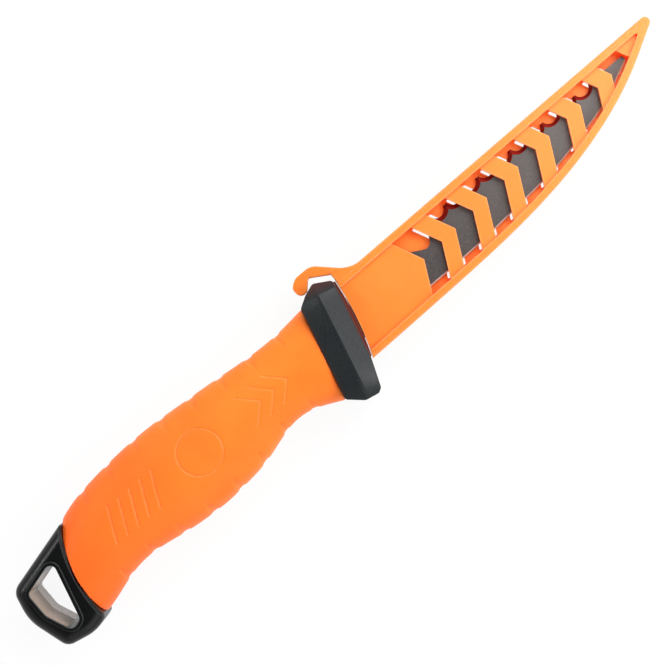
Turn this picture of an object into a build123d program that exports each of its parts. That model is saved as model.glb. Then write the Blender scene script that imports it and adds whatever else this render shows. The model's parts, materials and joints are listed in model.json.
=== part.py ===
from build123d import *
import os
from math import cos, pi, radians, sin, sqrt, tan

os.makedirs("parts", exist_ok=True)

# Fillet knife in its moulded sheath, lying on its side.
# +X runs along the blade to the tip, +Y towards the spine, +Z up through the flat of the blade.
# The root is the point where the blade's centre line leaves the guard, half way through the thickness.
# All outlines are drawn from the root. The origin is at the bottom centre of the whole.

# Blade: one stamped and ground steel blank
blade_length = 122.3
blade_height = 17.5
blade_thickness = 1.6
heel_edge_thickness = 0.7
tip_spine_thickness = 1.0
tip_slant = 0.5
cutting_bevel_height = 0.5
cutting_bevel_depth = 0.15
# Cutting edge: share of the length from the root, share of the height below the spine
edge_shares = (
    (0.256, 1.0), (0.339, 0.992), (0.452, 0.95), (0.57, 0.886), (0.688, 0.793), (0.811, 0.607),
    (0.876, 0.488), (0.946, 0.277), (1.0, 0.1),
)

# Scalloped spine and line cutter
scallop_count = 10
scallop_pitch = 6.83
scallop_radius = 2.8
scallop_depth = 2.15
scallop_bevel_width = 1.9
first_scallop_x = 43.35
cutter_start_x = 19.5
cutter_length = 19.5
cutter_depth = 8.0
cutter_floor_share = 0.76
cutter_round = 2.3

# Tang, hidden in the handle
tang_length = 88.0
tang_height = 11.0
tang_drop = 2.2
tang_tail_taper = 2.0
tang_round = 1.5
tang_clearance = 0.05

# Guard: moulded collar, leaning forward at the spine
guard_length = 13.5
guard_height = 41.4
guard_thickness = 24.5
guard_tilt = 13.7
guard_front_thickness = 17.5
guard_rear_thickness = 20.0
guard_land_width = 1.0
facet_overrun = 1.0
guard_corner_round = 1.4
guard_edge_round = 0.7
# Side outline: share of the length behind the front face, share of the height above the root
guard_outline_shares = (
    (0.02, 0.326), (0.0, 0.10), (0.0, -0.33), (0.108, -0.585), (0.21, -0.617), (0.57, -0.62),
    (1.0, -0.546), (1.0, 0.232), (0.755, 0.312), (0.487, 0.37),
)
# Stretches of the facets, each smooth along its height: share of the height above the root, share of
# the full thickness there
guard_stretch_shares = (
    (
        (-0.66, 0.74), (-0.57, 0.88), (-0.48, 0.965), (-0.4, 0.992), (-0.27, 0.996), (-0.14, 0.996),
        (0.0, 0.996), (0.12, 0.99), (0.27, 0.93),
    ),
    ((0.27, 0.93), (0.4, 0.5)),
)
pad_rise = 1.25
pad_sag = 0.85
pad_height = 26.8
pad_thickness = 8.5
pad_drop = 0.5
spigot_length = 8.0
spigot_height = 14.0
spigot_thickness = 8.0

# Grip: soft overmould
grip_length = 104.5
grip_height = 35.0
grip_thickness = 23.8
grip_roundness = 2.5
section_points = 16
# Sections: share of the length behind the guard, top and bottom as shares of the height above the
# root, thickness as a share of the thickness
grip_section_shares = (
    (-0.062, 0.366, -0.69, 0.83),
    (0.042, 0.336, -0.55, 0.81),
    (0.115, 0.326, -0.449, 0.785),
    (0.188, 0.334, -0.4, 0.785),
    (0.298, 0.366, -0.466, 0.845),
    (0.412, 0.396, -0.542, 0.92),
    (0.518, 0.422, -0.569, 0.98),
    (0.632, 0.433, -0.554, 1.0),
    (0.738, 0.417, -0.509, 0.99),
    (0.824, 0.39, -0.483, 0.98),
    (0.92, 0.33, -0.531, 0.975),
    (1.015, 0.2, -0.617, 0.975),
    (1.08, 0.115, -0.69, 0.975),
)
notch_count = 8
notch_pitch_share = 0.11
first_top_notch_share = 0.084
first_bottom_notch_share = 0.135
notch_width = 3.0
notch_reach = 5.0
notch_depth = 0.4
groove_width = 0.6
groove_depth = 0.35
ring_radius = 7.6
ring_behind_guard = 50.8
ring_drop = 1.75
# Grooved chevrons between the ring and the guard
chevron_groove_count = 3
chevron_groove_pitch = 5.5
chevron_groove_height = 12.0
chevron_groove_length = 6.0
chevron_groove_behind_guard = 14.5
# Grooved bars between the ring and the butt cap
bar_groove_count = 5
bar_groove_pitch = 4.5
bar_groove_length = 13.0
bar_groove_lean = 25.0
bar_groove_behind_guard = 69.0
groove_drop = 1.6

# Butt cap: hard moulding with a lanyard hole
cap_length = 22.7
cap_height = 33.0
cap_thickness = 23.1
cap_edge_round = 3.6
cap_rim_chamfer = 0.9
joint_radius = 49.7
joint_drop = 17.4
# Side outline: share of the length behind the joint, share of the height above the root, corner radius
# as a share of the height
cap_outline_shares = (
    (-0.835, 0.41, 0.0), (0.92, 0.073, 0.14), (1.017, -0.24, 0.5), (0.825, -0.675, 0.12),
    (0.35, -0.742, 0.4), (-0.392, -0.53, 0.0),
)
# Lanyard hole at mid thickness, in the same shares
hole_outline_shares = (
    (0.24, 0.036, 0.035), (0.722, -0.058, 0.03), (0.722, -0.3, 0.18), (0.57, -0.55, 0.05),
    (0.445, -0.53, 0.05),
)
hole_draft = 4.0
bead_width = 1.2
bead_rise = 0.7
cap_spigot_length = 9.0
cap_spigot_height = 9.0
cap_spigot_drop = 6.0

# Core: two hard half shells closed round the tang
core_thickness = 14.0
core_round = 2.5
# Side outline: share of the grip's length behind the guard, share of its height above the root
core_outline_shares = (
    (-0.2, 0.18), (0.72, 0.18), (1.15, -0.01), (1.15, -0.37), (0.72, -0.305), (-0.2, -0.305),
)
key_slot_length = 6.0
key_slot_width = 4.0
key_slot_behind_guard = 85.5

# Steel pins across the handle
pin_radius = 1.5
guard_pin_behind = 4.2
front_pin_behind = 26.0
rear_pin_behind = 60.0
cap_pin_share = 0.45

# Sheath: one moulding with rails, walls, bars and windows
sheath_length = 134.2
sheath_height = 26.8
spine_rise = 0.75
mouth_gap = 0.3
spine_clearance = 1.0
rail_width = 2.55
rail_thickness = 7.6
rail_round = 1.2
pocket_thickness = 2.0
front_wall = 1.6
back_wall = 1.1
tip_round = 1.7
pocket_tip_round = 0.5
# Belly side: share of the length ahead of the mouth, share of the height below the spine side
belly_shares = (
    (-0.09, 1.0), (-0.027, 0.999), (0.173, 0.988), (0.413, 0.953), (0.593, 0.857), (0.763, 0.658),
    (0.893, 0.396), (0.989, 0.131), (1.038, 0.0),
)
belly_stops = 16

# Chevron bars, front bars over windows in the back and the other way round
bar_count = 6
bar_pitch = 14.15
bar_width = 6.05
first_bar_x = 36.5
bend_drop = 12.7
bend_rise_per_length = 0.067
upper_lean = 0.46
lower_lean = 0.52
rear_slit = 0.65
front_slit = 1.2
slit_spine_gap = 1.0
slit_belly_gap = 0.5
slit_round = 0.35

# Latch: hooked arm over the guard, with a bulb that closes behind it
latch_width = 7.0
latch_height = 6.6
latch_reach = 14.0
root_thickness = 2.4
root_ahead = 1.6
root_rise = 2.55
root_clearance = 0.1
latch_travel = 8.0
shoulder_length = 5.5
shoulder_wall = 0.6
# Outline from the root's outside round the bulb to the root's inside: share of the reach behind the
# root, share of the height above it, corner radius as a share of the height
latch_outline_shares = (
    (-0.07, 0.16, 0.0), (0.345, 1.0, 0.8), (0.81, 1.0, 0.6), (1.02, 0.68, 0.33), (0.985, 0.08, 0.3),
    (0.775, 0.135, 0.12), (0.56, 0.61, 0.12), (0.1, 0.02, 0.04), (0.08, -0.08, 0.0),
)

# Overrun of every cut past the faces that it crosses
overrun = 3.0

# Places worked out from the sizes above
lean_cos = cos(radians(guard_tilt))
lean_sin = sin(radians(guard_tilt))
guard_depth = guard_length / lean_cos


def on_guard(length_share, height_share):
    """Point of the guard's side outline, seen from the root."""
    x = -length_share * guard_length
    y = height_share * guard_height
    return Vector(x * lean_cos + y * lean_sin, y * lean_cos - x * lean_sin)


def along_guard(y, ahead):
    """Place along X, at height y, of a line parallel to the guard's front face and ahead of it."""
    return (ahead + y * lean_sin) / lean_cos


lowest = min(on_guard(*shares).Y for shares in guard_outline_shares)
spine_y = blade_height / 2
joint_x = -guard_depth - grip_length
joint_centre_x = joint_x + sqrt(joint_radius**2 - joint_drop**2)
dome_radius = ((pad_height / 2) ** 2 + pad_sag**2) / (2 * pad_sag)
mouth_ahead = pad_rise - pad_sag + mouth_gap
mouth_x = (pad_rise + mouth_gap) / lean_cos
rail_spine_y = spine_y + spine_clearance + rail_width
handle_reach = cap_length - joint_x
sheath_reach = mouth_x + sheath_length
root_x = (handle_reach - sheath_reach) / 2
latch_root = Vector(along_guard(rail_spine_y, mouth_ahead) + root_ahead, rail_spine_y + root_rise)
root_y = -(lowest + latch_root.Y + latch_height) / 2
root_z = max(guard_thickness, grip_thickness, cap_thickness + 2 * bead_rise) / 2

mid = Plane((root_x, root_y, root_z))
guard_plane = Plane((root_x, root_y, root_z), x_dir=(lean_cos, -lean_sin, 0), z_dir=(0, 0, 1))


def section(x):
    """Plane square to the blade, with its own x up the blade's height and its y through the flat."""
    return Plane((root_x + x, root_y, root_z), x_dir=(0, 1, 0), z_dir=(1, 0, 0))


def guard_face(ahead):
    """Plane parallel to the guard's front face, looking forward, with its x up the guard."""
    face = Plane(guard_plane.origin, x_dir=guard_plane.y_dir, z_dir=guard_plane.x_dir)
    return face.offset(ahead)


def rounded(points, length, height, start_x):
    """Closed outline from shares of a length and a height, each corner with its own radius."""
    places = [(start_x - x * length, y * height) for x, y, r in points]
    FilletPolyline(*places, radius=[r * height for x, y, r in points], close=True)


# Blade
with BuildPart() as blade:
    with BuildSketch(mid.offset(-blade_thickness / 2)):
        with BuildLine():
            edge = [(x * blade_length, spine_y - y * blade_height) for x, y in edge_shares]
            heel = along_guard(-spine_y, pad_rise)
            shoulder = along_guard(spine_y, pad_rise)
            tip = (blade_length - tip_slant, spine_y)
            Polyline(edge[-1], tip, (shoulder, spine_y), (heel, -spine_y), edge[0])
            Spline(*edge, tangents=[(1, 0), Vector(*edge[-1]) - Vector(*edge[-2])])
        make_face()
    extrude(amount=blade_thickness)
    # Both flats are ground down towards the edge and the tip
    for side in (1, -1):
        spine_heel = Vector(root_x, root_y + spine_y, root_z + side * blade_thickness / 2)
        spine_tip = spine_heel + Vector(blade_length, 0, side * (tip_spine_thickness - blade_thickness) / 2)
        edge_heel = spine_heel + Vector(0, -blade_height, side * (heel_edge_thickness - blade_thickness) / 2)
        normal = (spine_tip - spine_heel).cross(spine_heel - edge_heel) * side
        split(bisect_by=Plane(spine_heel, x_dir=spine_tip - spine_heel, z_dir=normal), keep=Keep.BOTTOM)
    for flat in (blade.faces().sort_by(Axis.Z)[-1], blade.faces().sort_by(Axis.Z)[0]):
        chamfer(
            flat.edges().sort_by(Axis.Y)[:2],
            length=cutting_bevel_height,
            length2=cutting_bevel_depth,
            reference=flat,
        )
    # Scallops, ground to an edge from both flats
    scallop_y = root_y + spine_y + scallop_radius - scallop_depth
    scallops = [
        (root_x + first_scallop_x + i * scallop_pitch, scallop_y, root_z) for i in range(scallop_count)
    ]
    with Locations(*scallops):
        wide = scallop_radius + scallop_bevel_width
        up = (Align.CENTER, Align.CENTER, Align.MIN)
        down = (Align.CENTER, Align.CENTER, Align.MAX)
        Cone(scallop_radius, wide, blade_thickness / 2, align=up, mode=Mode.SUBTRACT)
        Cone(wide, scallop_radius, blade_thickness / 2, align=down, mode=Mode.SUBTRACT)
    # Line cutter
    with BuildSketch(mid.offset(-overrun)):
        with BuildLine():
            cutter_end = cutter_start_x + cutter_length
            floor = (cutter_start_x + cutter_floor_share * cutter_length, spine_y - cutter_depth)
            FilletPolyline(
                (cutter_start_x, spine_y), floor, (cutter_end, spine_y), (cutter_end, spine_y + overrun),
                (cutter_start_x, spine_y + overrun), radius=[0, cutter_round, 0, 0, 0], close=True,
            )
        make_face()
    extrude(amount=2 * overrun, mode=Mode.SUBTRACT)
    # Tang
    with BuildSketch(mid.offset(-blade_thickness / 2)):
        with BuildLine():
            top = tang_height / 2 - tang_drop
            bottom = -tang_height / 2 - tang_drop
            FilletPolyline(
                (along_guard(top, pad_rise), top), (along_guard(bottom, pad_rise), bottom),
                (-tang_length, bottom + tang_tail_taper), (-tang_length, top - tang_tail_taper),
                radius=[0, 0, tang_round, tang_round], close=True,
            )
        make_face()
    extrude(amount=blade_thickness)
    tang_pins = [
        (root_x - guard_depth - behind, root_y - tang_drop, root_z)
        for behind in (guard_pin_behind, front_pin_behind, rear_pin_behind)
    ]
    with Locations(*tang_pins):
        Cylinder(pin_radius, blade_thickness + overrun, mode=Mode.SUBTRACT)
blade.part.label = "blade"


def tang_space():
    """Slot that the tang fills, as a sketch on a plane square to the blade."""
    with Locations((-tang_drop, 0)):
        Rectangle(tang_height + 2 * tang_clearance, blade_thickness + 2 * tang_clearance)


# Guard
with BuildPart() as guard:
    # Facets fall from a narrow land half way along the guard, and towards both ends
    for stretch_shares in guard_stretch_shares:
        for height_share, thickness_share in stretch_shares:
            level = guard_plane.origin + guard_plane.y_dir * height_share * guard_height
            half_facets = [
                (facet_overrun, guard_front_thickness / 2 * thickness_share),
                ((guard_land_width - guard_length) / 2, guard_thickness / 2 * thickness_share),
                (-(guard_land_width + guard_length) / 2, guard_thickness / 2 * thickness_share),
                (-guard_length - facet_overrun, guard_rear_thickness / 2 * thickness_share),
            ]
            with BuildSketch(Plane(level, x_dir=guard_plane.x_dir, z_dir=guard_plane.y_dir)):
                Polygon(*half_facets, *[(x, -y) for x, y in reversed(half_facets)], align=None)
        loft()
    with BuildSketch(guard_plane.offset(-guard_thickness)):
        with BuildLine():
            Polyline(*[(-x * guard_length, y * guard_height) for x, y in guard_outline_shares], close=True)
        make_face()
        fillet(vertices(), guard_corner_round)
    extrude(amount=2 * guard_thickness, mode=Mode.INTERSECT)
    fillet(guard.edges(), guard_edge_round)
    # Low domed pad that closes the sheath's mouth
    with BuildSketch(guard_plane.offset(-pad_thickness / 2)):
        with Locations((pad_rise - dome_radius, -pad_drop)):
            Circle(dome_radius)
        with Locations((0, -pad_drop)):
            Rectangle(guard_length, pad_height, mode=Mode.INTERSECT)
    extrude(amount=pad_thickness)
    # Spigot that the core closes on
    with BuildSketch(section(-guard_depth / 2)):
        with Locations((-tang_drop, 0)):
            Rectangle(spigot_height, spigot_thickness)
    extrude(amount=-(guard_depth / 2 + spigot_length))
    with BuildSketch(section(overrun)):
        tang_space()
    extrude(amount=-(guard_depth + spigot_length + 2 * overrun), mode=Mode.SUBTRACT)
    with Locations(tang_pins[0]):
        Cylinder(pin_radius, guard_thickness, mode=Mode.SUBTRACT)
guard.part.label = "guard"


def grip_side():
    """Everything on the grip's side of its curved joint with the butt cap."""
    with Locations((joint_centre_x, -joint_drop)):
        Circle(joint_radius)
    with Locations((joint_centre_x, 0)):
        Rectangle(-joint_centre_x + overrun, 2 * joint_radius, align=(Align.MIN, Align.CENTER))


def grip_blank(inset):
    """Grip without its ends, grooves or hollow, drawn in by an inset."""
    outlines = []
    for x_share, top_share, bottom_share, thickness_share in grip_section_shares:
        centre = (top_share + bottom_share) / 2 * grip_height
        half_height = (top_share - bottom_share) / 2 * grip_height - inset
        half_thickness = thickness_share * grip_thickness / 2 - inset
        points = []
        for i in range(section_points):
            angle = 2 * pi * (i + 0.5) / section_points
            across, through = cos(angle), sin(angle)
            reach = (abs(across) ** grip_roundness + abs(through) ** grip_roundness) ** (-1 / grip_roundness)
            points.append((centre + half_height * across * reach, half_thickness * through * reach))
        with BuildSketch(section(-guard_depth - x_share * grip_length)) as outline:
            with BuildLine():
                Spline(*points, periodic=True)
            make_face()
        outlines.append(outline.sketch)
    loft(outlines)


def grip_edge(x_share, column):
    """Height of the grip's top (column 1) or bottom (column 2) edge at a share of its length."""
    for near, far in zip(grip_section_shares, grip_section_shares[1:]):
        if near[0] <= x_share <= far[0]:
            part_way = (x_share - near[0]) / (far[0] - near[0])
            return (near[column] + part_way * (far[column] - near[column])) * grip_height


# What the notches and grooves leave untouched under the grip's skin
with BuildPart() as notch_floor:
    grip_blank(notch_depth)
with BuildPart() as groove_floor:
    grip_blank(groove_depth)

# Notches between the finger pads, along both edges
with BuildPart() as notches:
    with BuildSketch(mid):
        for column, first_share, outwards in (
            (1, first_top_notch_share, 1), (2, first_bottom_notch_share, -1),
        ):
            for i in range(notch_count):
                x_share = first_share + i * notch_pitch_share
                x = -guard_depth - x_share * grip_length
                y = grip_edge(x_share, column)
                outer = y + outwards * overrun
                half = notch_width / 2 * (notch_reach + overrun) / notch_reach
                inner = y - outwards * notch_reach
                with BuildLine():
                    Polyline((x, inner), (x - half, outer), (x + half, outer), close=True)
                make_face()
    extrude(amount=grip_thickness, both=True)
    add(notch_floor.part, mode=Mode.SUBTRACT)

# Grooved decoration: a ring, nested chevrons and leaning bars
with BuildPart() as grooves:
    with BuildSketch(mid):
        with Locations((-guard_depth - ring_behind_guard, -ring_drop)):
            Circle(ring_radius + groove_width / 2)
            Circle(ring_radius - groove_width / 2, mode=Mode.SUBTRACT)
        for i in range(chevron_groove_count):
            tip_x = -guard_depth - chevron_groove_behind_guard - i * chevron_groove_pitch
            tail_x = tip_x - chevron_groove_length
            half = chevron_groove_height / 2
            with BuildLine() as chevron:
                Polyline((tail_x, half - groove_drop), (tip_x, -groove_drop), (tail_x, -half - groove_drop))
            trace(chevron.line, groove_width)
        for i in range(bar_groove_count):
            x = -guard_depth - bar_groove_behind_guard - i * bar_groove_pitch
            with Locations(Location((x, -groove_drop), 90 - bar_groove_lean)):
                SlotOverall(bar_groove_length, groove_width)
    extrude(amount=grip_thickness, both=True)
    add(groove_floor.part, mode=Mode.SUBTRACT)

# Space inside the grip, filled by the closed core
with BuildPart() as core_space:
    with BuildSketch(mid.offset(-core_thickness / 2)):
        with BuildLine():
            core_outline = [
                (-guard_depth - x * grip_length, y * grip_height) for x, y in core_outline_shares
            ]
            Polyline(*core_outline, close=True)
        make_face()
    extrude(amount=core_thickness)
    fillet(core_space.edges().filter_by(Axis.Z, reverse=True), core_round)
    with BuildSketch(mid.offset(-grip_thickness)):
        grip_side()
    extrude(amount=2 * grip_thickness, mode=Mode.INTERSECT)
    split(bisect_by=guard_face(-guard_length), keep=Keep.BOTTOM)
    with BuildSketch(mid.offset(-core_thickness)):
        with Locations((-guard_depth - key_slot_behind_guard, -cap_spigot_drop)):
            SlotOverall(key_slot_length + key_slot_width, key_slot_width)
    extrude(amount=2 * core_thickness, mode=Mode.SUBTRACT)

# Grip
with BuildPart() as grip:
    grip_blank(0)
    with BuildSketch(mid.offset(-grip_thickness)):
        grip_side()
    extrude(amount=2 * grip_thickness, mode=Mode.INTERSECT)
    split(bisect_by=guard_face(-guard_length), keep=Keep.BOTTOM)
    add(notches.part, mode=Mode.SUBTRACT)
    add(grooves.part, mode=Mode.SUBTRACT)
    add(core_space.part, mode=Mode.SUBTRACT)
grip.part.label = "grip"

# Butt cap
cap_face = cap_thickness / 2
with BuildPart() as butt_cap:
    with BuildSketch(mid.offset(-cap_face)):
        with BuildLine():
            rounded(cap_outline_shares, cap_length, cap_height, joint_x)
        make_face()
    extrude(amount=cap_thickness)
    flats = butt_cap.faces().sort_by(Axis.Z)
    fillet(flats[0].edges() + flats[-1].edges(), cap_edge_round)
    with BuildSketch(mid.offset(-cap_thickness)):
        grip_side()
    extrude(amount=2 * cap_thickness, mode=Mode.SUBTRACT)
    chamfer(butt_cap.faces().sort_by(Axis.X)[-1].edges(), cap_rim_chamfer)
    # Raised bead round the lanyard hole on both faces
    for face, outwards in ((cap_face, 1), (-cap_face, -1)):
        with BuildSketch(mid.offset(face)):
            with BuildLine():
                rounded(hole_outline_shares, cap_length, cap_height, joint_x)
            make_face()
            offset(amount=bead_width + cap_face * tan(radians(hole_draft)), kind=Kind.ARC, mode=Mode.REPLACE)
        extrude(amount=outwards * bead_rise)
    with BuildSketch(mid):
        with BuildLine():
            rounded(hole_outline_shares, cap_length, cap_height, joint_x)
        make_face()
    extrude(amount=cap_thickness, both=True, taper=-hole_draft, mode=Mode.SUBTRACT)
    # Spigot that the core closes on
    with BuildSketch(section(joint_x - cap_spigot_length / 2)):
        with Locations((-cap_spigot_drop, 0)):
            Rectangle(cap_spigot_height, spigot_thickness)
    extrude(amount=1.5 * cap_spigot_length)
    cap_pin_place = (root_x + joint_x + cap_pin_share * cap_spigot_length, root_y - cap_spigot_drop, root_z)
    with Locations(cap_pin_place):
        Cylinder(pin_radius, cap_thickness, mode=Mode.SUBTRACT)
butt_cap.part.label = "butt_cap"

# Core halves
with BuildPart() as core_left:
    add(core_space.part)
    split(bisect_by=mid, keep=Keep.TOP)
    with BuildSketch(section(0)):
        tang_space()
    extrude(amount=-(tang_length + tang_clearance), mode=Mode.SUBTRACT)
    add(guard.part, mode=Mode.SUBTRACT)
    add(butt_cap.part, mode=Mode.SUBTRACT)
    with Locations(*tang_pins, cap_pin_place):
        Cylinder(pin_radius, 2 * core_thickness, mode=Mode.SUBTRACT)
core_left.part.label = "core_left"

with BuildPart() as core_right:
    mirror(core_left.part, about=mid)
core_right.part.label = "core_right"

# Pins
pins = []
pin_names = ("guard_pin", "tang_pin_front", "tang_pin_rear", "cap_pin")
for name, place in zip(pin_names, (*tang_pins, cap_pin_place)):
    with BuildPart() as pin:
        with Locations(place):
            Cylinder(pin_radius, core_thickness)
        chamfer(pin.edges().filter_by(GeomType.CIRCLE), pin_radius / 5)
    pin.part.label = name
    pins.append(pin.part)

# Sheath frame: origin on the outside of the spine rail at the mouth, x along that rail
sheath_plane = Plane(
    (root_x + mouth_x, root_y + rail_spine_y, root_z),
    x_dir=(cos(radians(spine_rise)), sin(radians(spine_rise)), 0),
    z_dir=(0, 0, 1),
)


def sheath_outline():
    """Closed outline of the sheath, longer than the real one at the mouth."""
    belly = [(x * sheath_length, -y * sheath_height) for x, y in belly_shares]
    Spline(*belly)
    Polyline(belly[-1], (belly[0][0], 0), belly[0])


def bar_edge(bend_x):
    """Edge of a chevron bar, from above the spine rail to below the belly rail."""
    bend_y = bend_rise_per_length * (bend_x - first_bar_x) - bend_drop
    up = overrun - bend_y
    down = sheath_height + overrun + bend_y
    upper_end = (bend_x - upper_lean * up, bend_y + up)
    lower_end = (bend_x - lower_lean * down, bend_y - down)
    return [upper_end, (bend_x, bend_y), lower_end]


def between(rear_edge, front_edge):
    """Region between two bar edges."""
    Polygon(*bar_edge(rear_edge), *reversed(bar_edge(front_edge)), align=None)


# Pocket between the rails, a rail's width inside the outline
with BuildSketch() as pocket:
    with BuildLine():
        belly = [(x * sheath_length, -y * sheath_height) for x, y in belly_shares]
        belly_line = Spline(*belly, mode=Mode.PRIVATE)
        stops = [i / belly_stops for i in range(belly_stops + 1)]
        inner = [belly_line @ t + (belly_line % t).rotate(Axis.Z, 90) * rail_width for t in stops]
        Spline(*inner)
        Polyline(inner[-1], (inner[0].X, inner[-1].Y), inner[0])
    make_face()
    with Locations((inner[0].X, -rail_width)):
        Rectangle(sheath_length * 2, sheath_height, align=(Align.MIN, Align.MAX), mode=Mode.INTERSECT)
    fillet(pocket.vertices().sort_by(Axis.X)[-1], pocket_tip_round)


# Side of the latch, drawn from its root, and the room that it needs in the sheath
with BuildSketch() as latch_side:
    with BuildLine():
        rounded(latch_outline_shares, latch_reach, latch_height, 0)
    make_face()
    Circle(root_thickness / 2)
with BuildSketch() as latch_room:
    add(latch_side.sketch)
    offset(amount=root_clearance, kind=Kind.ARC)

# Sheath
with BuildPart() as sheath:
    with BuildSketch(sheath_plane.offset(-rail_thickness / 2)) as blank:
        with BuildLine():
            sheath_outline()
        make_face()
        fillet(blank.vertices().sort_by(Axis.X)[-1], tip_round)
    extrude(amount=rail_thickness)
    for flat in (sheath.faces().sort_by(Axis.Z)[-1], sheath.faces().sort_by(Axis.Z)[0]):
        fillet(flat.edges().sort_by(Axis.X)[1:], rail_round)
    # Panels lie lower than the rails, with the pocket between them
    front_face = pocket_thickness / 2 + front_wall
    back_face = pocket_thickness / 2 + back_wall
    with BuildSketch(sheath_plane.offset(front_face)):
        add(pocket.sketch)
    extrude(amount=rail_thickness, mode=Mode.SUBTRACT)
    with BuildSketch(sheath_plane.offset(-back_face)):
        add(pocket.sketch)
    extrude(amount=-rail_thickness, mode=Mode.SUBTRACT)
    with BuildSketch(sheath_plane.offset(-pocket_thickness / 2)):
        add(pocket.sketch)
    extrude(amount=pocket_thickness, mode=Mode.SUBTRACT)
    # Shoulder that carries the latch
    with BuildSketch(mid.offset(-latch_width / 2)):
        with BuildLine():
            base = rail_spine_y - rail_width / 2
            back = latch_root.X + root_thickness / 2 + root_clearance + shoulder_wall
            Polyline(
                (0, base), (0, latch_root.Y - root_thickness / 4), (latch_root.X, latch_root.Y),
                (back, latch_root.Y), (back + shoulder_length / 3, rail_spine_y + shoulder_wall),
                (back + shoulder_length, rail_spine_y), (back + shoulder_length, base), close=True,
            )
        make_face()
    extrude(amount=latch_width)
    # Windows in the front between the bars
    with BuildSketch(sheath_plane.offset(pocket_thickness / 2)):
        for i in range(bar_count + 1):
            front_edge = first_bar_x + i * bar_pitch
            between(front_edge - bar_pitch + bar_width, front_edge)
        add(pocket.sketch, mode=Mode.INTERSECT)
    extrude(amount=front_wall, mode=Mode.SUBTRACT)
    # Openings in the back behind the bars, wider than them by a slit on each side
    with BuildSketch(sheath_plane.offset(-pocket_thickness / 2)) as openings:
        for i in range(bar_count):
            rear_edge = first_bar_x + i * bar_pitch
            between(rear_edge - rear_slit, rear_edge + bar_width + front_slit)
        for inwards in (-slit_spine_gap, slit_belly_gap):
            with Locations((0, inwards)):
                add(pocket.sketch, mode=Mode.INTERSECT)
        fillet(openings.vertices(), slit_round)
    extrude(amount=-back_wall, mode=Mode.SUBTRACT)
    # Mouth, curved like the pad on the guard
    with BuildSketch(guard_plane.offset(-rail_thickness)):
        with Locations((pad_rise - dome_radius, -pad_drop)):
            Circle(dome_radius + mouth_gap)
    extrude(amount=2 * rail_thickness, mode=Mode.SUBTRACT)
    # Seat of the latch, with room for its travel
    with BuildSketch(mid.offset(-rail_thickness)):
        for turn in (0, latch_travel / 2, latch_travel):
            with Locations(Location(latch_root, -turn)):
                add(latch_room.sketch)
    extrude(amount=2 * rail_thickness, mode=Mode.SUBTRACT)
sheath.part.label = "sheath"

# Latch
with BuildPart() as latch:
    with BuildSketch(mid.offset(-latch_width / 2)):
        with Locations(latch_root):
            add(latch_side.sketch)
    extrude(amount=latch_width)
latch.part.label = "latch"

for part in [p.part for p in (blade, guard, core_left, core_right, grip, butt_cap, sheath, latch)] + pins:
    export_step(part, f"parts/{part.label}.step")
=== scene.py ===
import json
from math import cos, radians, sin

import bpy
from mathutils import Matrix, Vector


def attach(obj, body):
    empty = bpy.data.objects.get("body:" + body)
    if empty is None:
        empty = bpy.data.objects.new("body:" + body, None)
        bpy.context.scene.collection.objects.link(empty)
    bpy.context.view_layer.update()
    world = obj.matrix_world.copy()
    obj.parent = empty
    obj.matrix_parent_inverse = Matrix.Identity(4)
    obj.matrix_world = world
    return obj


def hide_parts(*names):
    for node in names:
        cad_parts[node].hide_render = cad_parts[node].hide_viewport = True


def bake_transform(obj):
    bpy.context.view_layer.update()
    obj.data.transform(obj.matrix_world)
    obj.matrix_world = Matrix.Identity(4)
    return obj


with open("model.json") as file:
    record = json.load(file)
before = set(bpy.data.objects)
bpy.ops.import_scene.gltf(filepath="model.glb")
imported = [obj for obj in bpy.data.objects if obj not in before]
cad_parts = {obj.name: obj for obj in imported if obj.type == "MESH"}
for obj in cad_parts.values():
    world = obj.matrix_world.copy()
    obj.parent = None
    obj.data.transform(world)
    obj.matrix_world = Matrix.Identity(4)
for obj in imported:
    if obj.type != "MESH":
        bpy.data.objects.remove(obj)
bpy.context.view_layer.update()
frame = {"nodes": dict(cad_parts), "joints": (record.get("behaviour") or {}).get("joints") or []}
nodes = frame["nodes"]
mm = 0.001

# Camera: straight above, with the knife running up to the right
camera_height = 540 * mm
camera_view = 216.1 * mm
sensor_width = 36
knife_slant = radians(40)
camera_aim = Vector((-5.15, 1.65, 12.25)) * mm
picture_right = Vector((cos(knife_slant), -sin(knife_slant), 0))
picture_up = Vector((sin(knife_slant), cos(knife_slant), 0))

bpy.ops.object.camera_add(
    location=camera_aim + Vector((0, 0, camera_height)), rotation=(0, 0, -knife_slant)
)
camera = bpy.context.object
camera.name = "camera"
camera.data.sensor_width = sensor_width
camera.data.lens = sensor_width * camera_height / camera_view
camera.data.clip_start = 10 * mm
bpy.context.scene.camera = camera
bpy.context.scene.view_settings.view_transform = "Standard"


def linear(code):
    """Colour for a shader from its sRGB hex code."""
    shares = [int(code[i : i + 2], 16) / 255 for i in (1, 3, 5)]
    return [c / 12.92 if c < 0.04045 else ((c + 0.055) / 1.055) ** 2.4 for c in shares] + [1]


def empty_material(name):
    """Material with no nodes yet."""
    material = bpy.data.materials.new(name)
    material.use_nodes = True
    material.node_tree.nodes.clear()
    return material


def add(material, kind, inputs, **settings):
    """Node with its settings, and with its inputs set to values or linked to a node or a socket."""
    made = material.node_tree.nodes.new(kind)
    for name, value in settings.items():
        setattr(made, name, value)
    for key, value in inputs.items():
        if isinstance(value, bpy.types.Node):
            value = value.outputs[0]
        if isinstance(value, bpy.types.NodeSocket):
            material.node_tree.links.new(value, made.inputs[key])
        else:
            made.inputs[key].default_value = value
    return made


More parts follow.
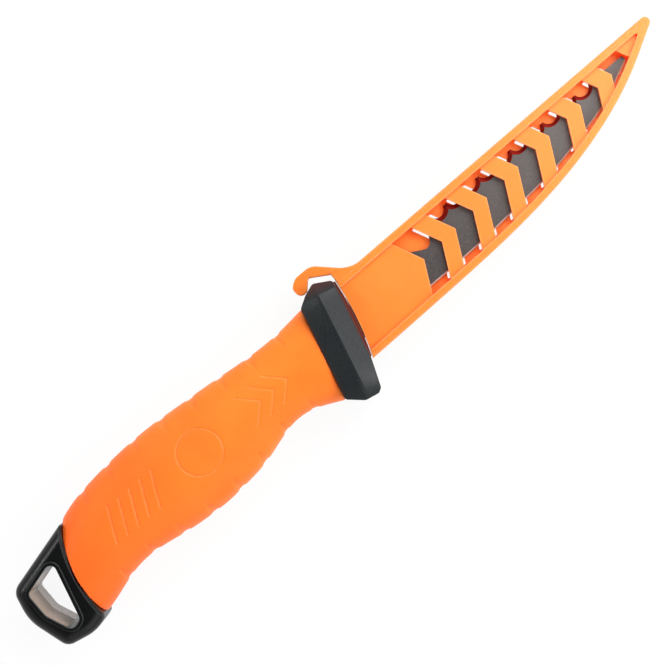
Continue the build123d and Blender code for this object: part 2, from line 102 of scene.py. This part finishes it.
def edge_mask(material, radius, turn, share):
    """Share that grows at edges, where the normal rounded over a radius turns away from the face."""
    face = add(material, "ShaderNodeNewGeometry", {}).outputs["Normal"]
    rounding = add(material, "ShaderNodeBevel", {"Radius": radius}, samples=6)
    along = add(material, "ShaderNodeVectorMath", {0: rounding, 1: face}, operation="DOT_PRODUCT")
    return add(
        material, "ShaderNodeMapRange",
        {
            "Value": along.outputs["Value"], "From Min": 0.995, "From Max": turn, "To Min": 0,
            "To Max": share,
        },
    )


def length_mask(material, place, start, end, share):
    """Share that grows along the knife, from one place on it to another."""
    reach = add(material, "ShaderNodeSeparateXYZ", {"Vector": place}).outputs["X"]
    return add(
        material, "ShaderNodeMapRange",
        {"Value": reach, "From Min": start, "From Max": end, "To Min": 0, "To Max": share},
    )


def tilt_mask(material, normal, start, end, share):
    """Share that grows as the upright part of a normal goes from one value to another."""
    facing = add(material, "ShaderNodeSeparateXYZ", {"Vector": normal})
    upright = add(material, "ShaderNodeMath", {0: facing.outputs["Z"]}, operation="ABSOLUTE")
    return add(
        material, "ShaderNodeMapRange",
        {"Value": upright, "From Min": start, "From Max": end, "To Min": 0, "To Max": share},
    )


# Thermoplastic elastomer, overmoulded in a fine matt tool: soft and milky, with painted highlights that make
# its rims paler
def elastomer():
    material = empty_material("orange_elastomer_overmould")
    place = add(material, "ShaderNodeTexCoord", {}).outputs["Object"]
    clouds = add(material, "ShaderNodeTexNoise", {"Vector": place, "Scale": 1 / (22 * mm), "Detail": 3})
    grain = add(material, "ShaderNodeTexNoise", {"Vector": place, "Scale": 1 / (0.5 * mm), "Detail": 3})
    milky = add(
        material, "ShaderNodeMapRange",
        {"Value": clouds, "From Min": 0.35, "From Max": 0.65, "To Min": 0, "To Max": 1},
    )
    fresh = add(
        material, "ShaderNodeMix", {0: milky, 6: linear("#FF7C18"), 7: linear("#FF720E")}, data_type="RGBA"
    )
    # Painted shade: deeper and darker towards the butt, where less light falls
    butt_painted_shade = length_mask(material, place, -50 * mm, -115 * mm, 0.65)
    body = add(
        material, "ShaderNodeMix", {0: butt_painted_shade, 6: fresh.outputs[2], 7: linear("#FF5A04")}, data_type="RGBA"
    )
    # Pores of the matt tool, a shade darker
    pores = add(
        material, "ShaderNodeMapRange",
        {"Value": grain, "From Min": 0.35, "From Max": 0.7, "To Min": 0, "To Max": 0.12},
    )
    pored = add(
        material, "ShaderNodeMix", {0: pores, 6: body.outputs[2], 7: linear("#EE5E0C")}, data_type="RGBA"
    )
    # Painted highlight: creases and edges paler, as sheen and the white room would make them
    edge_highlight = edge_mask(material, 0.5 * mm, 0.9, 0.7)
    colour = add(
        material, "ShaderNodeMix", {0: edge_highlight, 6: pored.outputs[2], 7: linear("#FFB27A")}, data_type="RGBA"
    )
    rough = add(
        material, "ShaderNodeMapRange",
        {"Value": grain, "From Min": 0.3, "From Max": 0.7, "To Min": 0.5, "To Max": 0.64},
    )
    soft_edge = add(material, "ShaderNodeBevel", {"Radius": 0.25 * mm}, samples=6)
    bump = add(
        material, "ShaderNodeBump", {"Height": grain, "Distance": 0.012 * mm, "Normal": soft_edge}
    )
    shader = add(
        material, "ShaderNodeBsdfPrincipled",
        {
            "Base Color": colour.outputs[2], "Roughness": rough, "IOR": 1.4, "Sheen Weight": 0.15,
            "Sheen Roughness": 0.45, "Sheen Tint": linear("#FFE3CC"), "Subsurface Weight": 0.15,
            "Subsurface Scale": 2 * mm, "Subsurface Radius": (1.0, 0.35, 0.1), "Normal": bump,
        },
    )
    add(material, "ShaderNodeOutputMaterial", {"Surface": shader})
    return material


# Polypropylene, injection moulded: smooth and semi-gloss; its thin walls let some light through, and its
# closed places have a painted redder shade and a painted glow
def polypropylene():
    material = empty_material("orange_polypropylene_moulding")
    place = add(material, "ShaderNodeTexCoord", {}).outputs["Object"]
    flow = add(material, "ShaderNodeTexNoise", {"Vector": place, "Scale": 1 / (30 * mm), "Detail": 2})
    ripple = add(material, "ShaderNodeTexNoise", {"Vector": place, "Scale": 1 / (1.6 * mm), "Detail": 2})
    streaks = add(
        material, "ShaderNodeMapRange",
        {"Value": flow, "From Min": 0.35, "From Max": 0.65, "To Min": 0, "To Max": 1},
    )
    fresh = add(
        material, "ShaderNodeMix", {0: streaks, 6: linear("#FF9434"), 7: linear("#FF8C2C")}, data_type="RGBA"
    )
    # Painted light: paler towards the tip, where more light falls
    tip_painted_light = length_mask(material, place, 10 * mm, 110 * mm, 1)
    body = add(
        material, "ShaderNodeMix", {0: tip_painted_light, 6: fresh.outputs[2], 7: linear("#FFA44A")}, data_type="RGBA"
    )
    # Painted highlight: paler along its open edges and on its steep walls
    edge_highlight = edge_mask(material, 0.7 * mm, 0.85, 0.6)
    face = add(material, "ShaderNodeNewGeometry", {}).outputs["Normal"]
    steep_wall_highlight = tilt_mask(material, face, 0.92, 0.3, 0.6)
    edge = add(material, "ShaderNodeMath", {0: edge_highlight, 1: steep_wall_highlight}, operation="MAXIMUM")
    # Closed in by other orange walls: how much, within a few millimetres. There the colour gets a painted
    # deeper red-orange shade and a painted glow
    openness = add(material, "ShaderNodeAmbientOcclusion", {"Distance": 4 * mm}, samples=8, only_local=True)
    closed = add(
        material, "ShaderNodeMapRange",
        {"Value": openness.outputs["AO"], "From Min": 0.6, "From Max": 0.1, "To Min": 0, "To Max": 1},
    )
    in_the_open = add(material, "ShaderNodeMath", {0: 1, 1: closed}, operation="SUBTRACT")
    open_edge_highlight = add(material, "ShaderNodeMath", {0: edge, 1: in_the_open}, operation="MULTIPLY")
    pale = add(
        material, "ShaderNodeMix", {0: open_edge_highlight, 6: body.outputs[2], 7: linear("#FFCB90")}, data_type="RGBA"
    )
    # Painted shade: closed places take a deeper red-orange
    colour = add(
        material, "ShaderNodeMix", {0: closed, 6: pale.outputs[2], 7: linear("#FF6A1C")}, data_type="RGBA"
    )
    rough = add(
        material, "ShaderNodeMapRange",
        {"Value": ripple, "From Min": 0.3, "From Max": 0.7, "To Min": 0.34, "To Max": 0.46},
    )
    soft_edge = add(material, "ShaderNodeBevel", {"Radius": 0.2 * mm}, samples=6)
    bump = add(
        material, "ShaderNodeBump", {"Height": ripple, "Distance": 0.01 * mm, "Normal": soft_edge}
    )
    # Painted glow: the closed places glow, standing in for light thrown from wall to wall
    painted_bounce_glow = add(material, "ShaderNodeMath", {0: closed, 1: 0.25}, operation="MULTIPLY")
    moulding = add(
        material, "ShaderNodeBsdfPrincipled",
        {
            "Base Color": colour.outputs[2], "Roughness": rough, "IOR": 1.49, "Subsurface Weight": 0.3,
            "Subsurface Scale": 2 * mm, "Subsurface Radius": (1.0, 0.35, 0.08), "Normal": bump,
            "Emission Color": linear("#FF5A0C"), "Emission Strength": painted_bounce_glow,
        },
    )
    # Thin walls let some light through, reddened
    through = add(material, "ShaderNodeBsdfTranslucent", {"Color": linear("#FF7422"), "Normal": bump})
    shader = add(material, "ShaderNodeMixShader", {0: 0.22, 1: moulding, 2: through})
    add(material, "ShaderNodeOutputMaterial", {"Surface": shader})
    return material


# Bore through the butt cap: where its middle is, how far its wall reaches from there, where the wall stops
# below the bead, and the height at which its two halves meet
bore_place = (-127.85 * mm, -6.65 * mm, 0)
bore_reach = 9.4 * mm
bore_reach_blur = 0.2 * mm
bore_bead_height = 23.6 * mm
bore_middle_height = 12.3 * mm
bore_middle_blur = 0.3 * mm


# Glass-filled nylon, moulded in a spark-eroded tool: dark, with a fine even grain and grey edges.
# Painted reflections: stretches along a direction are painted in the colour of the orange pieces that lie
# near them, and a bore's wall is painted pale, a painted reflection of the white table
def filled_nylon(name, dark, light, roughness, painted_reflections=(), bore=None):
    material = empty_material(name)
    place = add(material, "ShaderNodeTexCoord", {}).outputs["Object"]
    # The real grain is about 0.1 mm, drawn coarser so that it shows
    grain = add(
        material, "ShaderNodeTexNoise",
        {"Vector": place, "Scale": 1 / (0.45 * mm), "Detail": 4, "Roughness": 0.6},
    )
    patches = add(material, "ShaderNodeTexNoise", {"Vector": place, "Scale": 1 / (9 * mm), "Detail": 3})
    speckle = add(
        material, "ShaderNodeMapRange",
        {"Value": grain, "From Min": 0.3, "From Max": 0.7, "To Min": 0, "To Max": 1},
    )
    body = add(material, "ShaderNodeMix", {0: speckle, 6: linear(dark), 7: linear(light)}, data_type="RGBA")
    # Painted reflection of a nearby orange piece
    for direction, near, far, tint in painted_reflections:
        reach = add(material, "ShaderNodeVectorMath", {0: place, 1: direction}, operation="DOT_PRODUCT")
        reflection_share = add(
            material, "ShaderNodeMapRange",
            {
                "Value": reach.outputs["Value"], "From Min": near, "From Max": far, "To Min": 0,
                "To Max": 0.85,
            },
        )
        body = add(
            material, "ShaderNodeMix", {0: reflection_share, 6: body.outputs[2], 7: linear(tint)}, data_type="RGBA"
        )
    # Painted reflection: the bore's wall is painted grey-brown above its middle and near white below it
    if bore:
        normal = add(material, "ShaderNodeTexCoord", {}).outputs["Normal"]
        level = add(material, "ShaderNodeVectorMath", {0: place, 1: (1, 1, 0)}, operation="MULTIPLY")
        apart = add(material, "ShaderNodeVectorMath", {0: level, 1: bore}, operation="DISTANCE")
        inside = add(
            material, "ShaderNodeMapRange",
            {
                "Value": apart.outputs["Value"], "From Min": bore_reach + bore_reach_blur,
                "From Max": bore_reach - bore_reach_blur, "To Min": 0, "To Max": 1,
            },
        )
        steep = tilt_mask(material, normal, 0.4, 0.2, 1)
        height = add(material, "ShaderNodeSeparateXYZ", {"Vector": place}).outputs["Z"]
        below_bead = add(material, "ShaderNodeMath", {0: height, 1: bore_bead_height}, operation="LESS_THAN")
        in_bore = add(material, "ShaderNodeMath", {0: inside, 1: steep}, operation="MULTIPLY")
        wall = add(material, "ShaderNodeMath", {0: in_bore, 1: below_bead}, operation="MULTIPLY")
        lower = add(
            material, "ShaderNodeMapRange",
            {
                "Value": height, "From Min": bore_middle_height + bore_middle_blur,
                "From Max": bore_middle_height - bore_middle_blur, "To Min": 0, "To Max": 1,
            },
        )
        bore_painted_reflection = add(
            material, "ShaderNodeMix", {0: lower, 6: linear("#A08A7A"), 7: linear("#FFF0E6")},
            data_type="RGBA",
        )
        body = add(
            material, "ShaderNodeMix", {0: wall, 6: body.outputs[2], 7: bore_painted_reflection.outputs[2]}, data_type="RGBA"
        )
    # Edges paler grey
    grey_edges = edge_mask(material, 0.4 * mm, 0.88, 0.35)
    colour = add(
        material, "ShaderNodeMix", {0: grey_edges, 6: body.outputs[2], 7: linear("#5A6164")}, data_type="RGBA"
    )
    rough = add(
        material, "ShaderNodeMapRange",
        {
            "Value": patches, "From Min": 0.3, "From Max": 0.7, "To Min": roughness - 0.05,
            "To Max": roughness + 0.05,
        },
    )
    soft_edge = add(material, "ShaderNodeBevel", {"Radius": 0.3 * mm}, samples=6)
    bump = add(
        material, "ShaderNodeBump", {"Height": grain, "Distance": 0.03 * mm, "Normal": soft_edge}
    )
    shader = add(
        material, "ShaderNodeBsdfPrincipled",
        {
            "Base Color": colour.outputs[2], "Roughness": rough, "IOR": 1.5, "Specular IOR Level": 0.3,
            "Normal": bump,
        },
    )
    add(material, "ShaderNodeOutputMaterial", {"Surface": shader})
    return material


# Stainless steel: the flats have a dark speckled non-stick coating, the ground edges are bare
def coated_steel():
    material = empty_material("coated_stainless_steel")
    coordinates = add(material, "ShaderNodeTexCoord", {})
    place = coordinates.outputs["Object"]
    # The real speckle is about 0.1 mm, drawn coarser so that it shows
    speckle = add(
        material, "ShaderNodeTexNoise",
        {"Vector": place, "Scale": 1 / (0.4 * mm), "Detail": 4, "Roughness": 0.7},
    )
    wiped = add(material, "ShaderNodeTexNoise", {"Vector": place, "Scale": 1 / (14 * mm), "Detail": 3})
    specks = add(
        material, "ShaderNodeMapRange",
        {"Value": speckle, "From Min": 0.35, "From Max": 0.65, "To Min": 0, "To Max": 1},
    )
    coat = add(
        material, "ShaderNodeMix", {0: specks, 6: linear("#353333"), 7: linear("#575454")}, data_type="RGBA"
    )
    wear = add(
        material, "ShaderNodeMapRange",
        {"Value": wiped, "From Min": 0.3, "From Max": 0.7, "To Min": 0, "To Max": 0.3},
    )
    worn = add(
        material, "ShaderNodeMix", {0: wear, 6: coat.outputs[2], 7: linear("#4C4948")}, data_type="RGBA"
    )
    # Painted light: paler towards the tip, where more light falls on the coating
    reach = length_mask(material, place, 25 * mm, 90 * mm, 0.27)
    coating = add(
        material, "ShaderNodeMix", {0: reach, 6: worn.outputs[2], 7: linear("#8E8884")}, data_type="RGBA"
    )
    facing = add(material, "ShaderNodeSeparateXYZ", {"Vector": coordinates.outputs["Normal"]})
    flat = tilt_mask(material, coordinates.outputs["Normal"], 0.98, 0.998, 1)
    # The ground scallops on the spine side are painted dark red, a painted reflection of the orange sheath;
    # the cutting edge is bright
    spine_side = add(
        material, "ShaderNodeMapRange",
        {"Value": facing.outputs["Y"], "From Min": -0.1, "From Max": 0.1, "To Min": 0, "To Max": 1},
    )
    ground = add(
        material, "ShaderNodeMix", {0: spine_side, 6: linear("#C4B8B4"), 7: linear("#6A1008")},
        data_type="RGBA",
    )
    colour = add(
        material, "ShaderNodeMix", {0: flat, 6: ground.outputs[2], 7: coating.outputs[2]}, data_type="RGBA"
    )
    bare = add(
        material, "ShaderNodeMapRange",
        {"Value": spine_side, "From Min": 0, "From Max": 1, "To Min": 1, "To Max": 0.9},
    )
    metallic = add(material, "ShaderNodeMix", {0: flat, 2: bare, 3: 0.5})
    rough = add(
        material, "ShaderNodeMapRange",
        {"Value": flat, "From Min": 0, "From Max": 1, "To Min": 0.5, "To Max": 0.46},
    )
    bump = add(material, "ShaderNodeBump", {"Height": speckle, "Distance": 0.01 * mm})
    shader = add(
        material, "ShaderNodeBsdfPrincipled",
        {"Base Color": colour.outputs[2], "Metallic": metallic, "Roughness": rough, "Normal": bump},
    )
    add(material, "ShaderNodeOutputMaterial", {"Surface": shader})
    return material


# Plain steel of the hidden pins, drawn: bright, with fine streaks
def drawn_steel():
    material = empty_material("drawn_steel_pin")
    place = add(material, "ShaderNodeTexCoord", {}).outputs["Object"]
    along = add(material, "ShaderNodeMapping", {"Vector": place, "Scale": (1, 1, 0.05)})
    streaks = add(material, "ShaderNodeTexNoise", {"Vector": along, "Scale": 1 / (0.3 * mm), "Detail": 2})
    colour = add(
        material, "ShaderNodeMix", {0: streaks, 6: linear("#B6B4B0"), 7: linear("#9C9A96")}, data_type="RGBA"
    )
    rough = add(
        material, "ShaderNodeMapRange",
        {"Value": streaks, "From Min": 0.3, "From Max": 0.7, "To Min": 0.25, "To Max": 0.4},
    )
    bump = add(material, "ShaderNodeBump", {"Height": streaks, "Distance": 0.005 * mm})
    shader = add(
        material, "ShaderNodeBsdfPrincipled",
        {"Base Color": colour.outputs[2], "Metallic": 1.0, "Roughness": rough, "Normal": bump},
    )
    add(material, "ShaderNodeOutputMaterial", {"Surface": shader})
    return material


grip_finish = elastomer()
sheath_finish = polypropylene()
# Guard: its front, its back and its crest lie next to orange pieces, whose reflections are painted on them
guard_lean = radians(13.7)
guard_ahead = Vector((cos(guard_lean), -sin(guard_lean), 0))
guard_up = Vector((sin(guard_lean), cos(guard_lean), 0))
guard_place = Vector((2.65, 1.35, 0)) * mm
guard_crest_height = 12.5 * mm
guard_back_depth = 12.6 * mm
front_at = guard_place.dot(guard_ahead)
back_at = front_at - guard_back_depth
crest_at = guard_place.dot(guard_up) + guard_crest_height
guard_painted_reflections = (
    (guard_ahead, front_at - 0.4 * mm, front_at + 0.3 * mm, "#6A2216"),
    (guard_ahead, back_at, back_at - 0.9 * mm, "#33100A"),
    (guard_up, crest_at - 1.5 * mm, crest_at + 1.5 * mm, "#3C1814"),
)
guard_finish = filled_nylon("charcoal_filled_nylon", "#050708", "#1D2326", 0.4, guard_painted_reflections)
cap_finish = filled_nylon("black_filled_nylon", "#020303", "#070809", 0.3, (), bore_place)
core_finish = filled_nylon("hidden_filled_nylon", "#101012", "#1A1A1C", 0.5)
blade_finish = coated_steel()
pin_finish = drawn_steel()

finishes = {
    "blade": blade_finish, "guard": guard_finish, "core_left": core_finish, "core_right": core_finish,
    "guard_pin": pin_finish, "tang_pin_front": pin_finish, "tang_pin_rear": pin_finish,
    "cap_pin": pin_finish, "grip": grip_finish, "butt_cap": cap_finish, "sheath": sheath_finish,
    "latch": sheath_finish,
}
for name, finish in finishes.items():
    for slot in nodes[name].material_slots:
        slot.material = finish


def select_only(piece):
    """Makes a piece the only selected and the active object."""
    bpy.ops.object.select_all(action="DESELECT")
    piece.select_set(True)
    bpy.context.view_layer.objects.active = piece


def copy_of(node, name, finish):
    """Merged copy of a CAD piece's mesh, to be worked on."""
    piece = nodes[node].copy()
    piece.data = nodes[node].data.copy()
    piece.name = name
    piece.parent = None
    bpy.context.collection.objects.link(piece)
    piece.data.materials.clear()
    piece.data.materials.append(finish)
    select_only(piece)
    bpy.ops.object.mode_set(mode="EDIT")
    bpy.ops.mesh.select_all(action="SELECT")
    bpy.ops.mesh.remove_doubles(threshold=0.002 * mm)
    bpy.ops.mesh.customdata_custom_splitnormals_clear()
    bpy.ops.object.mode_set(mode="OBJECT")
    return piece


def remeshed(piece, voxel):
    """Gives a piece an even, dense mesh."""
    remesh = piece.modifiers.new("remesh", "REMESH")
    remesh.mode = "VOXEL"
    remesh.voxel_size = voxel
    bpy.ops.object.modifier_apply(modifier=remesh.name)


def smoothed(piece, rounds, group=""):
    """Rounds a dense mesh over, everywhere or in proportion to a vertex group."""
    smooth = piece.modifiers.new("smooth", "SMOOTH")
    smooth.factor = 0.5
    smooth.iterations = rounds
    smooth.vertex_group = group
    bpy.ops.object.modifier_apply(modifier=smooth.name)
    bpy.ops.object.shade_smooth()


# Latch arm: one moulding with the sheath, so a scooped web fills the corner between its root and the rail
hinge = next(j for j in frame["joints"] if j["name"] == "latch_bend")
root = Vector(hinge["pos_m"])
web_half_width = 3.8 * mm
web_low = root + Vector((-1.45, -3.5, 0)) * mm
web_high = root + Vector((9.1, 1.0, 0)) * mm
web_radius = 11 * mm
web_centre = root + Vector((9.12, 8.45, 0)) * mm
arm_voxel = 0.16 * mm
arm_smoothing = 6
latch_arm = copy_of("latch", "latch_arm", sheath_finish)
bpy.ops.object.select_all(action="DESELECT")
half_width = Vector((0, 0, web_half_width))
bpy.ops.mesh.primitive_cube_add(
    size=1, location=(web_low + web_high) / 2, scale=web_high - web_low + 2 * half_width
)
web = bpy.context.object
bpy.ops.object.transform_apply(location=True, rotation=True, scale=True)
bpy.ops.object.select_all(action="DESELECT")
bpy.ops.mesh.primitive_cylinder_add(
    vertices=128, radius=web_radius, depth=4 * web_half_width, location=web_centre
)
hollow = bpy.context.object
bpy.ops.object.transform_apply(location=True, rotation=True, scale=True)
select_only(web)
scoop = web.modifiers.new("scoop", "BOOLEAN")
scoop.operation = "DIFFERENCE"
scoop.object = hollow
bpy.ops.object.modifier_apply(modifier=scoop.name)
bpy.data.objects.remove(hollow)
select_only(latch_arm)
web.select_set(True)
bpy.ops.object.join()
remeshed(latch_arm, arm_voxel)
smoothed(latch_arm, arm_smoothing)
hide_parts("latch")
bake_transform(latch_arm)

# Grip: soft overmould, so the notches between its finger pads are rounded over
grooved_half_height = 7.5 * mm
blending_height = 1.5 * mm
grip_below_root = 16.5 * mm
grip_middle = root.y - grip_below_root
grip_voxel = 0.25 * mm
notch_smoothing = 26
kept_faces = 0.3
soft_grip = copy_of("grip", "soft_grip", grip_finish)
remeshed(soft_grip, grip_voxel)
pads = soft_grip.vertex_groups.new(name="pads")
for vertex in soft_grip.data.vertices:
    height = abs(vertex.co.y - grip_middle) - grooved_half_height
    pads.add([vertex.index], min(max(height / blending_height, 0), 1), "REPLACE")
smoothed(soft_grip, notch_smoothing, "pads")
thinned = soft_grip.modifiers.new("thinned", "DECIMATE")
thinned.ratio = kept_faces
bpy.ops.object.modifier_apply(modifier=thinned.name)
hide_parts("grip")
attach(soft_grip, "knife")

# Floor: white studio paper, which the camera and reflections see as near white under its shadow
floor_size = 3.0
floor_drop = 0.05 * mm
bpy.ops.object.select_all(action="DESELECT")
bpy.ops.mesh.primitive_plane_add(size=floor_size, location=(0, 0, -floor_drop))
floor = bpy.context.object
floor.name = "floor"
bpy.ops.object.transform_apply(location=True, rotation=True, scale=True)
white = empty_material("white_studio_paper")
fibres = add(
    white, "ShaderNodeTexNoise",
    {"Vector": add(white, "ShaderNodeTexCoord", {}).outputs["Object"], "Scale": 1 / (0.8 * mm)},
)
tone = add(
    white, "ShaderNodeMix", {0: fibres, 6: linear("#FAFAFA"), 7: linear("#F2F2F2")}, data_type="RGBA"
)
paper = add(white, "ShaderNodeBsdfPrincipled", {"Base Color": tone.outputs[2], "Roughness": 0.9})
glow = add(white, "ShaderNodeEmission", {"Color": linear("#FFFFFF"), "Strength": 1.0})
rays = add(white, "ShaderNodeLightPath", {})
seen = add(
    white, "ShaderNodeMath",
    {0: rays.outputs["Is Camera Ray"], 1: rays.outputs["Is Glossy Ray"]}, operation="MAXIMUM",
)
shown = add(
    white, "ShaderNodeMath", {0: seen, 1: rays.outputs["Is Transmission Ray"]}, operation="MAXIMUM"
)
share = add(white, "ShaderNodeMath", {0: shown, 1: 0.92}, operation="MULTIPLY")
mixed = add(white, "ShaderNodeMixShader", {0: share, 1: paper, 2: glow})
add(white, "ShaderNodeOutputMaterial", {"Surface": mixed})
floor.data.materials.append(white)

# Light: a white room, darker overhead, and four soft lamps, the strongest beyond the picture's upper edge
world = bpy.data.worlds.new("studio")
world.use_nodes = True
world.node_tree.nodes.clear()
skyward = add(
    world, "ShaderNodeSeparateXYZ", {"Vector": add(world, "ShaderNodeTexCoord", {}).outputs["Generated"]}
)
brightness = add(
    world, "ShaderNodeMapRange",
    {"Value": skyward.outputs["Z"], "From Min": 0.55, "From Max": 0.95, "To Min": 0.8, "To Max": 0.1},
)
room = add(world, "ShaderNodeBackground", {"Color": linear("#FFFFFF"), "Strength": brightness})
add(world, "ShaderNodeOutputWorld", {"Surface": room})
bpy.context.scene.world = world
# Name, distances to the right, up the picture and above it, size, power
lamps = (
    ("key_lamp", 0.2, 0.45, 0.55, 0.5, 4.2),
    ("side_lamp", 0.8, 0.12, 0.6, 0.4, 3.6),
    ("shoulder_lamp", -0.7, 0.08, 0.7, 0.2, 1.6),
    ("fill_lamp", 0.35, -0.45, 0.7, 0.8, 2.0),
)
for name, right, up, height, size, power in lamps:
    spot = picture_right * right + picture_up * up + Vector((0, 0, height))
    aim = (-spot).to_track_quat("-Z", "Y").to_euler()
    bpy.ops.object.light_add(type="AREA", location=spot, rotation=aim)
    light = bpy.context.object
    light.name = name
    light.data.size = size
    light.data.energy = power
